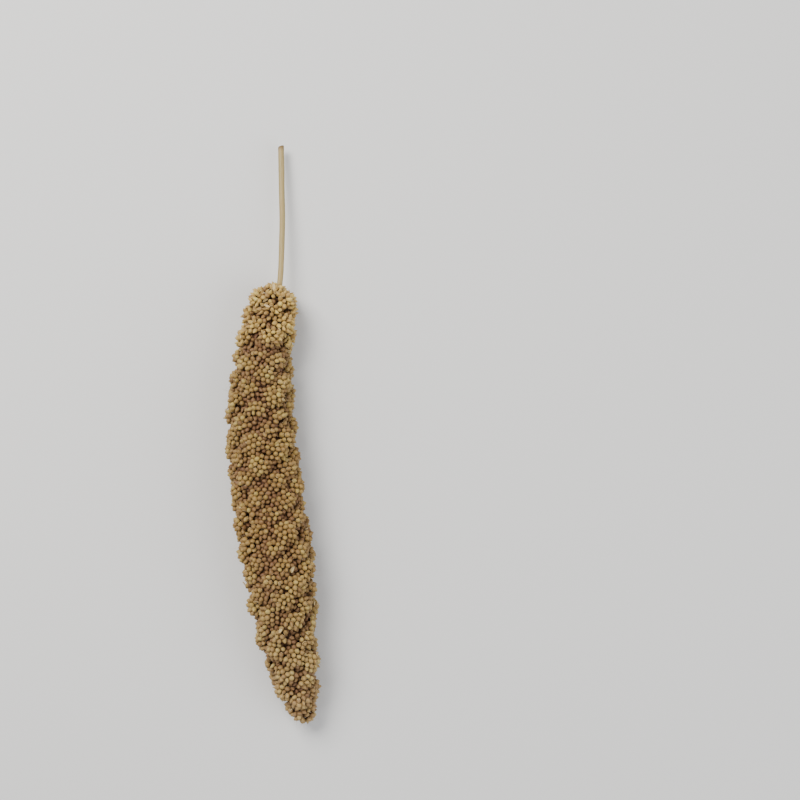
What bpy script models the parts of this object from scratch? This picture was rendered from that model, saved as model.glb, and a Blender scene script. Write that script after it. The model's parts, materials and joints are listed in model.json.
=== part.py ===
"""Millet seed head: one dried foxtail millet spray, cut with a short stalk and lying on its side.

Two pieces: the stalk, a straw whose end runs up into the head, and the seed head, one surface over clusters
of seeds that stand round a bowed axis. Lengths below are millimetres; the meshes are metres. X runs across
the head, Y along it with the stalk at +Y, and Z up from the surface that it lies on.
"""

import bisect
import math
import random

import bmesh
import bpy
from mathutils import Vector
from mathutils.geometry import delaunay_2d_cdt

METRES = 0.001
UP = Vector((0.0, 0.0, 1.0))

# The plant's axis, from the cut end of the stalk to the tip of the head
AXIS_ROUTE = (
    (3.4, 115.5, 3.6),
    (3.9, 88.0, 6.2),
    (3.0, 69.5, 8.2),
    (-0.1, 60.0, 9.2),
    (-2.1, 42.0, 10.1),
    (-2.2, 16.0, 11.2),
    (2.2, -13.0, 11.4),
    (5.8, -42.0, 10.0),
    (11.2, -68.8, 6.4),
)
NECK_POINT = 2  # where the stalk meets the head
ROUTE_STEPS = 24  # samples between two points of the route
TANGENT_REACH = 0.5  # along the axis, each way
LOCATE_ROUNDS = 4

# The head: its outer radius, seeds included, against the share of its length from the neck
HEAD_RADII = (
    (0.00, 7.8),
    (0.08, 9.1),
    (0.20, 10.6),
    (0.36, 11.8),
    (0.54, 12.5),
    (0.68, 11.8),
    (0.82, 10.2),
    (0.92, 7.9),
    (1.00, 4.7),
)
NECK_CAP = 6.6  # from the neck to the middle of the rounded shoulder
TIP_CAP = 4.6  # from the tip to the middle of the rounded end
FLAT_STEP = 0.1  # along the outline, where it is rolled out flat
FLAT_GRAIN = 2**20  # flat places are whole multiples of one turn's width over this
FLAT_MARGIN = 0.5  # of one turn, repeated beyond each edge

# Seed clusters, one on each side branch, on a golden-angle spiral
CLUSTER_PITCH = 8.3
CLUSTER_RADIUS = 4.8
CLUSTER_RADIUS_SPREAD = 0.10
WIDEST_CLUSTER_SHARE = 0.62  # of the head's radius
CLUSTER_REACH_SPREAD = 0.6
CLUSTER_TURN_SPREAD = 0.10  # radians
GOLDEN_ANGLE = math.pi * (3.0 - math.sqrt(5.0))
CLUSTER_UNDER_ORIGIN = math.radians(-90.0)  # the cluster nearest the origin faces straight down
AREA_SHARE = math.sqrt(3.0) / 2.0  # of the pitch squared, that one cluster covers
PIT_SHARE = 0.62  # of the head's radius, at the bottom of the gaps between clusters
PIT_CLEARANCE = 1.0
RANDOM_SEED = 11

# Seeds, larger than life: one on the top of each cluster and six round it, each a low dome
SIDE_SEEDS = 6
SIDE_SEED_TILT = math.radians(46.0)
SIDE_SEED_SPREAD = math.radians(5.0)
SEED_RISE = 1.3
SEED_RISE_SPREAD = 0.10
SEED_SIDES = 6
SEED_RIM_RADIUS = 1.12
SEED_RIM_SHARE = 0.44  # of the rise
SEED_CLEARANCE = 2.25  # between the middles of two seeds, where their clusters meet

# What the head rests on: a flat spot under the origin, and three low points round its weight
REST_SPOT_RADIUS = 1.7
REST_PLACES = ((-8.4, 19.7), (3.3, 64.9), (9.7, -58.0))
REST_REACH = 0.9  # no higher than this before they are lowered to the floor
REST_CLEARANCE = 0.45  # under all the rest of it

# The stalk, its socket in the head, and the two ends of the head's outline
STALK_RADIUS_CUT = 0.98
STALK_RADIUS_NECK = 0.86
STALK_DEPTH = 13.2
STALK_STEP = 2.4
STALK_BEVEL_RESOLUTION = 4
SOCKET_RADIUS = 1.28
SOCKET_SIDES = 12
SOCKET_MOUTH = 0.6
SOCKET_DEPTH = 13.8
SOCKET_ROWS = 4
END_CLEARANCE = 2.2

HEAD_COLOUR = (0.42, 0.27, 0.11, 1.0)
HEAD_ROUGHNESS = 0.6
STALK_COLOUR = (0.40, 0.33, 0.16, 1.0)
STALK_ROUGHNESS = 0.55


def hermite(values, stations, position):
    """Smooth value at a position, through values given at rising stations."""
    last = len(stations) - 2
    k = min(max(bisect.bisect_right(stations, position) - 1, 0), last)
    width = stations[k + 1] - stations[k]
    t = (position - stations[k]) / width

    def slope(n):
        before, after = max(n - 1, 0), min(n + 1, last + 1)
        return (values[after] - values[before]) / (stations[after] - stations[before])

    rise = t * t * (3.0 - 2.0 * t)
    return (
        values[k] * (1.0 - rise)
        + values[k + 1] * rise
        + slope(k) * (t * (1.0 - t) ** 2 * width)
        + slope(k + 1) * (t * t * (t - 1.0) * width)
    )


class Axis:
    """The plant's curved axis, measured from the neck: the tip is positive, the stalk negative."""

    def __init__(self, route):
        knots = [Vector(point) for point in route]
        stations = [0.0]
        for a, b in zip(knots, knots[1:]):
            stations.append(stations[-1] + (b - a).length)
        self.points = []
        for k in range(len(knots) - 1):
            for step in range(ROUTE_STEPS):
                place = stations[k] + (stations[k + 1] - stations[k]) * step / ROUTE_STEPS
                self.points.append(hermite(knots, stations, place))
        self.points.append(knots[-1])
        self.lengths = [0.0]
        for a, b in zip(self.points, self.points[1:]):
            self.lengths.append(self.lengths[-1] + (b - a).length)
        neck = self.lengths[NECK_POINT * ROUTE_STEPS]
        self.lengths = [length - neck for length in self.lengths]
        self.start = self.lengths[0]
        self.length = self.lengths[-1]

    def at(self, s):
        """Point, tangent, and the two directions across, sideways and upwards."""
        point = hermite(self.points, self.lengths, s)
        ahead = hermite(self.points, self.lengths, min(s + TANGENT_REACH, self.length))
        behind = hermite(self.points, self.lengths, max(s - TANGENT_REACH, self.start))
        tangent = (ahead - behind).normalized()
        side = tangent.cross(UP).normalized()
        return point, tangent, side, side.cross(tangent)


def ring_points(axis, s, radius, count):
    """Points of a circle round the axis."""
    centre, _, side, up = axis.at(s)
    turns = [math.tau * k / count for k in range(count)]
    return [centre + (side * math.cos(turn) + up * math.sin(turn)) * radius for turn in turns]


class Outline:
    """The head's outline from the neck's pole over the shoulder, along the side and round the tip."""

    def __init__(self, axis):
        self.axis = axis
        self.neck_s = NECK_CAP
        self.tip_s = axis.length - TIP_CAP
        self.neck_radius = self.radius(self.neck_s)
        self.tip_radius = self.radius(self.tip_s)
        self.neck_arc = self.neck_radius * math.pi / 2.0
        self.side_end = self.neck_arc + self.tip_s - self.neck_s
        self.total = self.side_end + self.tip_radius * math.pi / 2.0
        self.heights = [0.0]
        for k in range(round(self.total / FLAT_STEP)):
            ring = max(self.ring((k + 0.5) * FLAT_STEP), SOCKET_RADIUS)
            self.heights.append(self.heights[-1] + FLAT_STEP / ring / math.tau)

    def radius(self, s):
        """Outer radius of the head at a distance from the neck."""
        shares, radii = zip(*HEAD_RADII)
        return hermite(radii, shares, s / self.axis.length)

    def at(self, u):
        """Where a ray at outline distance u leaves the axis, its tilt to the tip, and its outer length."""
        if u < self.neck_arc:
            return self.neck_s, (u - self.neck_arc) / self.neck_radius, self.neck_radius
        if u > self.side_end:
            return self.tip_s, (u - self.side_end) / self.tip_radius, self.tip_radius
        s = self.neck_s + u - self.neck_arc
        return s, 0.0, self.radius(s)

    def ring(self, u):
        """Radius of the head's circle round the axis at outline distance u."""
        _, tilt, radius = self.at(u)
        return radius * math.cos(tilt)

    def ray(self, u, turn):
        """Start and direction of the ray at outline distance u and a turn, and its outer length."""
        s, tilt, radius = self.at(u)
        point, tangent, side, up = self.axis.at(s)
        across = side * math.cos(turn) + up * math.sin(turn)
        return point, across * math.cos(tilt) + tangent * math.sin(tilt), radius

    def locate(self, point):
        """Outline distance and turn of the ray through a point."""
        neck_y = AXIS_ROUTE[NECK_POINT][1]
        s = min(max(neck_y - point.y, self.neck_s), self.tip_s)
        for _ in range(LOCATE_ROUNDS):
            centre, tangent, side, up = self.axis.at(s)
            offset = point - centre
            ahead = offset.dot(tangent)
            s = min(max(s + ahead, self.neck_s), self.tip_s)
        turn = math.atan2(offset.dot(up), offset.dot(side))
        tilt = math.atan2(ahead, math.hypot(offset.dot(up), offset.dot(side)))
        if s == self.neck_s:
            return self.neck_arc + tilt * self.neck_radius, turn
        if s == self.tip_s:
            return self.side_end + tilt * self.tip_radius, turn
        return self.neck_arc + s - self.neck_s, turn

    def flat(self, u, turn):
        """The outline rolled out flat without distortion: one turn is 1 wide."""
        k = min(max(int(u / FLAT_STEP), 0), len(self.heights) - 2)
        height = self.heights[k] + (self.heights[k + 1] - self.heights[k]) * (u / FLAT_STEP - k)
        across = turn / math.tau % 1.0
        return Vector((round(across * FLAT_GRAIN) / FLAT_GRAIN, round(height * FLAT_GRAIN) / FLAT_GRAIN))


class HeadSurface:
    """The points of the head's surface, in space and rolled out flat."""

    def __init__(self, outline):
        self.outline = outline
        self.points = []
        self.flats = []
        self.seeds = []

    def apart(self, flat, others, ring):
        """Least distance from a flat place to others, in millimetres on a ring of the head."""
        least = math.inf
        for other in others:
            across = abs(flat.x - other.x)
            least = min(least, math.hypot(min(across, 1.0 - across), flat.y - other.y))
        return least * math.tau * ring

    def add(self, point):
        """One point of the surface."""
        self.points.append(point)
        self.flats.append(self.outline.flat(*self.outline.locate(point)))

    def add_ring(self, s, radius, count):
        """A ring of points round the axis, which is an edge of the surface rolled out flat."""
        points = ring_points(self.outline.axis, s, radius, count)
        u, _ = self.outline.locate(points[0])
        self.points.extend(points)
        self.flats.extend(self.outline.flat(u, math.tau * k / count) for k in range(count))

    def add_seed(self, base, outward, draw):
        """A seed as a low dome, unless an end of the head or another seed is in its way."""
        rise = SEED_RISE * (1.0 + draw.uniform(-1.0, 1.0) * SEED_RISE_SPREAD)
        first = draw.uniform(0.0, math.tau)
        u, turn = self.outline.locate(base + outward * rise)
        flat = self.outline.flat(u, turn)
        ring = self.outline.ring(u)
        if self.apart(flat, self.flats[:SOCKET_SIDES + SEED_SIDES], ring) < END_CLEARANCE:
            return
        if self.apart(flat, self.seeds, ring) < SEED_CLEARANCE:
            return
        self.seeds.append(flat)
        across = outward.orthogonal().normalized()
        along = outward.cross(across)
        self.add(base + outward * rise)
        for k in range(SEED_SIDES):
            angle = first + math.tau * k / SEED_SIDES
            rim = across * math.cos(angle) + along * math.sin(angle)
            self.add(base + rim * SEED_RIM_RADIUS + outward * (rise * SEED_RIM_SHARE))


def triangles_between(flats):
    """Triangles between flat places, where the left and right edges of the flat outline are one line."""
    owners = []
    copies = []
    for k, flat in enumerate(flats):
        for shift in (0.0, 1.0, -1.0):
            if -FLAT_MARGIN < flat.x + shift < 1.0 + FLAT_MARGIN:
                owners.append(k)
                copies.append(Vector((flat.x + shift, flat.y)))
    vertices, _, faces, origins, _, _ = delaunay_2d_cdt(copies, [], [], 0, 0.0)
    triangles = []
    for face in faces:
        if 0.0 <= sum(vertices[i].x for i in face) / 3.0 < 1.0:
            triangles.append([owners[origins[i][0]] for i in face])
    return triangles


def cluster_places(outline):
    """Outline distance and turn of each cluster, evenly over the head, and whether it is at the origin."""
    places = []
    area = 0.0
    u = FLAT_STEP / 2.0
    while u < outline.total:
        area += math.tau * outline.ring(u) * FLAT_STEP
        if area > CLUSTER_PITCH**2 * AREA_SHARE * (len(places) + 0.5):
            places.append(u)
        u += FLAT_STEP
    origin = min(range(len(places)), key=lambda k: abs(outline.ray(places[k], 0.0)[0].y))
    turns = [CLUSTER_UNDER_ORIGIN + (k - origin) * GOLDEN_ANGLE for k in range(len(places))]
    return [(u, turn, k == origin) for k, (u, turn) in enumerate(zip(places, turns))]


def clusters(outline, draw):
    """Centre, radius and outward direction of the sphere that each seed cluster fills, and its flat place."""
    made = []
    for u, turn, at_origin in cluster_places(outline):
        size = CLUSTER_RADIUS * (1.0 + draw.uniform(-1.0, 1.0) * CLUSTER_RADIUS_SPREAD)
        reach = draw.uniform(-1.0, 1.0) * CLUSTER_REACH_SPREAD
        wander = draw.uniform(-1.0, 1.0) * CLUSTER_TURN_SPREAD
        if at_origin:
            wander = reach = 0.0
        start, direction, radius = outline.ray(u, turn + wander)
        size = min(size, WIDEST_CLUSTER_SHARE * radius)
        centre = start + direction * (radius + reach - size)
        made.append((centre, size - SEED_RISE, direction, outline.flat(u, turn + wander)))
    return made


def head_surface(outline):
    """The head's surface: its two ends, then the seeds of each cluster and the pits between clusters."""
    draw = random.Random(RANDOM_SEED)
    surface = HeadSurface(outline)
    surface.add_ring(SOCKET_MOUTH, SOCKET_RADIUS, SOCKET_SIDES)
    surface.add_ring(outline.axis.length - SEED_RISE * (1.0 - SEED_RIM_SHARE), SEED_RIM_RADIUS, SEED_SIDES)
    spheres = clusters(outline, draw)
    for centre, size, direction, _ in spheres:
        surface.add_seed(centre + direction * size, direction, draw)
    for centre, size, direction, _ in spheres:
        across = direction.orthogonal().normalized()
        along = direction.cross(across)
        first = draw.uniform(0.0, math.tau)
        for k in range(SIDE_SEEDS):
            angle = first + math.tau * k / SIDE_SEEDS + draw.uniform(-1.0, 1.0) * SIDE_SEED_SPREAD
            tilt = SIDE_SEED_TILT + draw.uniform(-1.0, 1.0) * SIDE_SEED_SPREAD
            sideways = across * math.cos(angle) + along * math.sin(angle)
            outward = direction * math.cos(tilt) + sideways * math.sin(tilt)
            surface.add_seed(centre + outward * size, outward, draw)
    flats = [flat for _, _, _, flat in spheres]
    for triangle in triangles_between(flats):
        corners = [spheres[k][0] for k in triangle]
        u, turn = outline.locate((corners[0] + corners[1] + corners[2]) / 3.0)
        flat = outline.flat(u, turn)
        if surface.apart(flat, surface.flats, outline.ring(u)) > PIT_CLEARANCE:
            start, direction, radius = outline.ray(u, turn)
            surface.add(start + direction * (radius * PIT_SHARE))
    return surface


def rested(points):
    """The points above the floor, but for those that the head rests on, which are at its level."""
    placed = [Vector((point.x, point.y, max(point.z, REST_CLEARANCE))) for point in points]
    low = [point for point in placed if point.z < REST_REACH]
    for point in low:
        if point.xy.length < REST_SPOT_RADIUS:
            point.z = 0.0
    for place in REST_PLACES:
        nearest = min(low, key=lambda point: (point.xy - Vector(place)).length)
        nearest.z = 0.0
    return placed


def object_from(bm, name, collection, material):
    """A named object from a bmesh, smooth shaded, in a collection."""
    mesh = bpy.data.meshes.new(name)
    bm.to_mesh(mesh)
    bm.free()
    mesh.materials.append(material)
    mesh.shade_smooth()
    made = bpy.data.objects.new(name, mesh)
    collection.objects.link(made)
    return made


def build_seed_head(axis, collection, material):
    """The seed head: one closed body with a blind socket for the stalk."""
    surface = head_surface(Outline(axis))
    bm = bmesh.new()
    made = [bm.verts.new(point * METRES) for point in rested(surface.points)]
    for triangle in triangles_between(surface.flats):
        bm.faces.new([made[k] for k in triangle])

    # The socket, from its mouth down to its floor
    ring = made[:SOCKET_SIDES]
    for row in range(1, SOCKET_ROWS + 1):
        s = SOCKET_MOUTH + (SOCKET_DEPTH - SOCKET_MOUTH) * row / SOCKET_ROWS
        wall = ring_points(axis, s, SOCKET_RADIUS, SOCKET_SIDES)
        deeper = [bm.verts.new(point * METRES) for point in wall]
        for k in range(SOCKET_SIDES):
            following = (k + 1) % SOCKET_SIDES
            bm.faces.new((ring[k], ring[following], deeper[following], deeper[k]))
        ring = deeper
    bm.faces.new(ring)

    # The seed at the very tip
    tip = bm.verts.new(axis.at(axis.length)[0] * METRES)
    ring = made[SOCKET_SIDES:SOCKET_SIDES + SEED_SIDES]
    for k in range(SEED_SIDES):
        bm.faces.new((ring[k], ring[(k + 1) % SEED_SIDES], tip))
    bmesh.ops.recalc_face_normals(bm, faces=bm.faces[:])
    return object_from(bm, "seed_head", collection, material)


def build_stalk(axis, collection, material):
    """The stalk: a slightly tapering straw from its cut end into the head's socket."""
    curve = bpy.data.curves.new("stalk", "CURVE")
    curve.dimensions = "3D"
    curve.bevel_depth = METRES
    curve.bevel_resolution = STALK_BEVEL_RESOLUTION
    curve.use_fill_caps = True
    count = round((STALK_DEPTH - axis.start) / STALK_STEP)
    spline = curve.splines.new("POLY")
    spline.points.add(count)
    for k, point in enumerate(spline.points):
        share = k / count
        s = axis.start + (STALK_DEPTH - axis.start) * share
        point.co = (*(axis.at(s)[0] * METRES), 1.0)
        point.radius = STALK_RADIUS_CUT + (STALK_RADIUS_NECK - STALK_RADIUS_CUT) * share
    curve.materials.append(material)
    made = bpy.data.objects.new("stalk", curve)
    collection.objects.link(made)
    return made


def plain_material(name, colour, roughness):
    """A Principled material of one colour."""
    material = bpy.data.materials.new(name)
    material.use_nodes = True
    material.diffuse_color = colour
    shader = material.node_tree.nodes["Principled BSDF"]
    shader.inputs["Base Color"].default_value = colour
    shader.inputs["Roughness"].default_value = roughness
    return material


def main():
    """Clears the scene and builds the two pieces."""
    for old in list(bpy.data.objects):
        bpy.data.objects.remove(old)
    collection = bpy.data.collections.new("millet_seed_head")
    bpy.context.scene.collection.children.link(collection)
    axis = Axis(AXIS_ROUTE)
    build_stalk(axis, collection, plain_material("straw", STALK_COLOUR, STALK_ROUGHNESS))
    build_seed_head(axis, collection, plain_material("millet_seed", HEAD_COLOUR, HEAD_ROUGHNESS))


main()
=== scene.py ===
"""A dried foxtail millet seed head on its cut stalk, lying on a pale surface.

The seeds, husks, bristles and side branches stand round the same axis, in the same clusters, as the solids.
Lengths are in millimetres along the plant and in metres in finished meshes. X runs across the head, Y along
it with the stalk at +Y, and Z up.
"""

import bisect
import json
import logging
import math
import random
from dataclasses import dataclass, field
from enum import Enum
from typing import Any, Iterable, Optional, Sequence, Union

import bmesh
import bpy
import numpy as np
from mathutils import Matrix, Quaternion, Vector, kdtree

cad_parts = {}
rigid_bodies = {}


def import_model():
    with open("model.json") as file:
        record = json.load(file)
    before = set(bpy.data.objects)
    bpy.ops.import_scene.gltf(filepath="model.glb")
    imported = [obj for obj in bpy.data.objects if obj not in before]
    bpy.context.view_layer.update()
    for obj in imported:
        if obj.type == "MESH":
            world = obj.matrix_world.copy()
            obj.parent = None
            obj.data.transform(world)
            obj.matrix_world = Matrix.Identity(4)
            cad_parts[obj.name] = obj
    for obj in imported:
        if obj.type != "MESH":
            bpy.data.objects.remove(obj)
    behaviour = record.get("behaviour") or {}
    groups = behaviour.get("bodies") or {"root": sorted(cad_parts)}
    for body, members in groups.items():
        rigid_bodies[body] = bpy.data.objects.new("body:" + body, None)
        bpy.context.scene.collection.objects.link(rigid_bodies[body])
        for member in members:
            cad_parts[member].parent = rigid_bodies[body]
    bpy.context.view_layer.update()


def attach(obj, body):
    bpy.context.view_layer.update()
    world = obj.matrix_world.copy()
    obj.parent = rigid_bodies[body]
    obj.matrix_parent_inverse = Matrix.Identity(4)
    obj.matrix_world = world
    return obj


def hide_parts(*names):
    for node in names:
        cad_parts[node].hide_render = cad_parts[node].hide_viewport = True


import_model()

LOG = logging.getLogger("millet")
METRES = 0.001
UP = Vector((0.0, 0.0, 1.0))
GOLDEN_ANGLE = math.pi * (3.0 - math.sqrt(5.0))
HEX_SHARE = math.sqrt(3.0) / 2.0
Colour = tuple[float, float, float, float]


def tone(red: float, green: float, blue: float) -> Colour:
    """A scene colour from the 0 to 255 values that a screen shows.

    Args:
        red: red on screen.
        green: green on screen.
        blue: blue on screen.

    Returns:
        The linear colour with full alpha.
    """
    def straight(value: float) -> float:
        """Linear light of one screen value."""
        share = value / 255.0
        return share / 12.92 if share <= 0.04045 else ((share + 0.055) / 1.055) ** 2.4

    return straight(red), straight(green), straight(blue), 1.0


def hermite(values: Sequence[Any], stations: Sequence[float], position: float) -> Any:
    """Smooth value through values given at rising stations.

    Args:
        values: numbers or vectors, one per station.
        stations: rising positions of the values.
        position: where the value is wanted.

    Returns:
        The value there, of the same kind as the values.
    """
    last = len(stations) - 2
    k = min(max(bisect.bisect_right(stations, position) - 1, 0), last)
    width = stations[k + 1] - stations[k]
    t = (position - stations[k]) / width

    def slope(n: int) -> Any:
        """Slope at one station."""
        before, after = max(n - 1, 0), min(n + 1, last + 1)
        return (values[after] - values[before]) / (stations[after] - stations[before])

    rise = t * t * (3.0 - 2.0 * t)
    return (
        values[k] * (1.0 - rise)
        + values[k + 1] * rise
        + slope(k) * (t * (1.0 - t) ** 2 * width)
        + slope(k + 1) * (t * t * (t - 1.0) * width)
    )


@dataclass
class PlantAxis:
    """The plant's curved axis, measured from the neck: the tip is positive and the stalk negative."""

    route: tuple[tuple[float, float, float], ...] = (
        (3.4, 115.5, 3.6),
        (3.9, 88.0, 6.2),
        (3.0, 69.5, 8.2),
        (-0.1, 60.0, 9.2),
        (-2.1, 42.0, 10.1),
        (-2.2, 16.0, 11.2),
        (2.2, -13.0, 11.4),
        (5.8, -42.0, 10.0),
        (11.2, -68.8, 6.4),
    )
    neck_point: int = 2
    steps: int = 24
    tangent_reach: float = 0.5
    nearest_rounds: int = 4

    def __post_init__(self) -> None:
        """Samples the route and measures it from the neck."""
        knots = [Vector(point) for point in self.route]
        stations = [0.0]
        for a, b in zip(knots, knots[1:]):
            stations.append(stations[-1] + (b - a).length)
        self.points: list[Vector] = []
        for k in range(len(knots) - 1):
            for step in range(self.steps):
                place = stations[k] + (stations[k + 1] - stations[k]) * step / self.steps
                self.points.append(hermite(knots, stations, place))
        self.points.append(knots[-1])
        lengths = [0.0]
        for a, b in zip(self.points, self.points[1:]):
            lengths.append(lengths[-1] + (b - a).length)
        neck = lengths[self.neck_point * self.steps]
        self.lengths = [length - neck for length in lengths]
        self.neck_y = self.route[self.neck_point][1]

    @property
    def start(self) -> float:
        """Position of the stalk's cut end."""
        return self.lengths[0]

    @property
    def length(self) -> float:
        """Position of the head's tip."""
        return self.lengths[-1]

    def at(self, s: float) -> tuple[Vector, Vector, Vector, Vector]:
        """The axis at one position.

        Args:
            s: distance from the neck.

        Returns:
            Point, tangent towards the tip, and the directions across, sideways and upwards.
        """
        point = hermite(self.points, self.lengths, s)
        ahead = hermite(self.points, self.lengths, min(s + self.tangent_reach, self.length))
        behind = hermite(self.points, self.lengths, max(s - self.tangent_reach, self.start))
        tangent = (ahead - behind).normalized()
        side = tangent.cross(UP).normalized()
        return point, tangent, side, side.cross(tangent)

    def nearest(self, point: Vector) -> tuple[float, Vector]:
        """The axis position beside a point.

        Args:
            point: any point near the plant.

        Returns:
            The position, and the point's offset from the axis there.
        """
        s = self.neck_y - point.y
        for _ in range(self.nearest_rounds):
            s = min(max(s, self.start), self.length)
            centre, tangent, _, _ = self.at(s)
            s += (point - centre).dot(tangent)
        s = min(max(s, self.start), self.length)
        return s, point - self.at(s)[0]


@dataclass
class Cluster:
    """The seeds on one side branch, which fill a sphere."""

    centre: Vector
    size: float
    outward: Vector


@dataclass
class HeadOutline:
    """The head's outline from the neck's pole over the shoulder, along the side and round the tip."""

    axis: PlantAxis
    radii: tuple[tuple[float, float], ...] = (
        (0.00, 7.8),
        (0.08, 9.1),
        (0.20, 10.6),
        (0.36, 11.8),
        (0.54, 12.5),
        (0.68, 11.8),
        (0.82, 10.2),
        (0.92, 7.9),
        (1.00, 4.7),
    )
    neck_cap: float = 6.6
    tip_cap: float = 4.6
    walk: float = 0.1
    cluster_pitch: float = 8.3
    cluster_radius: float = 4.8
    cluster_spread: float = 0.10
    widest_share: float = 0.62
    reach_spread: float = 0.6
    turn_spread: float = 0.10
    under_origin: float = math.radians(-90.0)
    random_seed: int = 11

    def __post_init__(self) -> None:
        """Measures the two caps and the side."""
        self.tip_s = self.axis.length - self.tip_cap
        self.neck_radius = self.radius(self.neck_cap)
        self.tip_radius = self.radius(self.tip_s)
        self.neck_arc = self.neck_radius * math.pi / 2.0
        self.side_end = self.neck_arc + self.tip_s - self.neck_cap
        self.total = self.side_end + self.tip_radius * math.pi / 2.0

    def radius(self, s: float) -> float:
        """Outer radius of the head at a distance from the neck."""
        shares, radii = zip(*self.radii)
        return hermite(radii, shares, s / self.axis.length)

    def at(self, u: float) -> tuple[float, float, float]:
        """Where the ray at an outline distance leaves the axis.

        Args:
            u: distance along the outline from the neck's pole.

        Returns:
            Axis position, tilt towards the tip, and outer length.
        """
        if u < self.neck_arc:
            return self.neck_cap, (u - self.neck_arc) / self.neck_radius, self.neck_radius
        if u > self.side_end:
            return self.tip_s, (u - self.side_end) / self.tip_radius, self.tip_radius
        s = self.neck_cap + u - self.neck_arc
        return s, 0.0, self.radius(s)

    def ray(self, u: float, turn: float) -> tuple[Vector, Vector, float]:
        """The ray at an outline distance and a turn.

        Args:
            u: distance along the outline from the neck's pole.
            turn: angle round the axis.

        Returns:
            Start, direction and outer length.
        """
        s, tilt, radius = self.at(u)
        point, tangent, side, up = self.axis.at(s)
        across = side * math.cos(turn) + up * math.sin(turn)
        return point, across * math.cos(tilt) + tangent * math.sin(tilt), radius

    def clusters(self) -> list[Cluster]:
        """The seed clusters on a golden-angle spiral, as the solids have them."""
        places = []
        area = 0.0
        u = self.walk / 2.0
        while u < self.total:
            _, tilt, radius = self.at(u)
            area += math.tau * radius * math.cos(tilt) * self.walk
            if area > self.cluster_pitch**2 * HEX_SHARE * (len(places) + 0.5):
                places.append(u)
            u += self.walk
        origin = min(range(len(places)), key=lambda k: abs(self.ray(places[k], 0.0)[0].y))
        draw = random.Random(self.random_seed)
        made = []
        for k, place in enumerate(places):
            size = self.cluster_radius * (1.0 + draw.uniform(-1.0, 1.0) * self.cluster_spread)
            reach = draw.uniform(-1.0, 1.0) * self.reach_spread
            wander = draw.uniform(-1.0, 1.0) * self.turn_spread
            if k == origin:
                wander = reach = 0.0
            turn = self.under_origin + (k - origin) * GOLDEN_ANGLE + wander
            start, outward, radius = self.ray(place, turn)
            size = min(size, self.widest_share * radius)
            centre = start + outward * (radius + reach - size)
            made.append(Cluster(centre, size, outward))
        return made


class Wire:
    """A node's output, or a plain number, that arithmetic can be written on."""

    def __init__(self, maker: "NodeMaker", socket: Any) -> None:
        """Keeps the socket and the tree that it is in."""
        self.maker = maker
        self.socket = socket

    def _with(self, operation: str, first: Any, second: Any) -> "Wire":
        """One Math node.

        Args:
            operation: the Math node's operation.
            first: its first value or wire.
            second: its second value or wire.

        Returns:
            The result.
        """
        return self.maker.add("ShaderNodeMath", {"operation": operation}, {0: first, 1: second})

    def __add__(self, other: Any) -> "Wire":
        """Sum."""
        return self._with("ADD", self, other)

    def __radd__(self, other: Any) -> "Wire":
        """Sum, reflected."""
        return self._with("ADD", other, self)

    def __sub__(self, other: Any) -> "Wire":
        """Difference."""
        return self._with("SUBTRACT", self, other)

    def __rsub__(self, other: Any) -> "Wire":
        """Difference, reflected."""
        return self._with("SUBTRACT", other, self)

    def __mul__(self, other: Any) -> "Wire":
        """Product."""
        return self._with("MULTIPLY", self, other)

    def __rmul__(self, other: Any) -> "Wire":
        """Product, reflected."""
        return self._with("MULTIPLY", other, self)

    def clamped(self) -> "Wire":
        """The value held between 0 and 1."""
        return self.maker.add("ShaderNodeClamp", {}, {"Value": self})

    def between(self, low: float, high: float) -> "Wire":
        """A smooth step.

        Args:
            low: where it is 0.
            high: where it is 1.

        Returns:
            The step, from 0 to 1.
        """
        settings = {"interpolation_type": "SMOOTHSTEP"}
        inputs = {"Value": self, "From Min": low, "From Max": high}
        return self.maker.add("ShaderNodeMapRange", settings, inputs)


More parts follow.
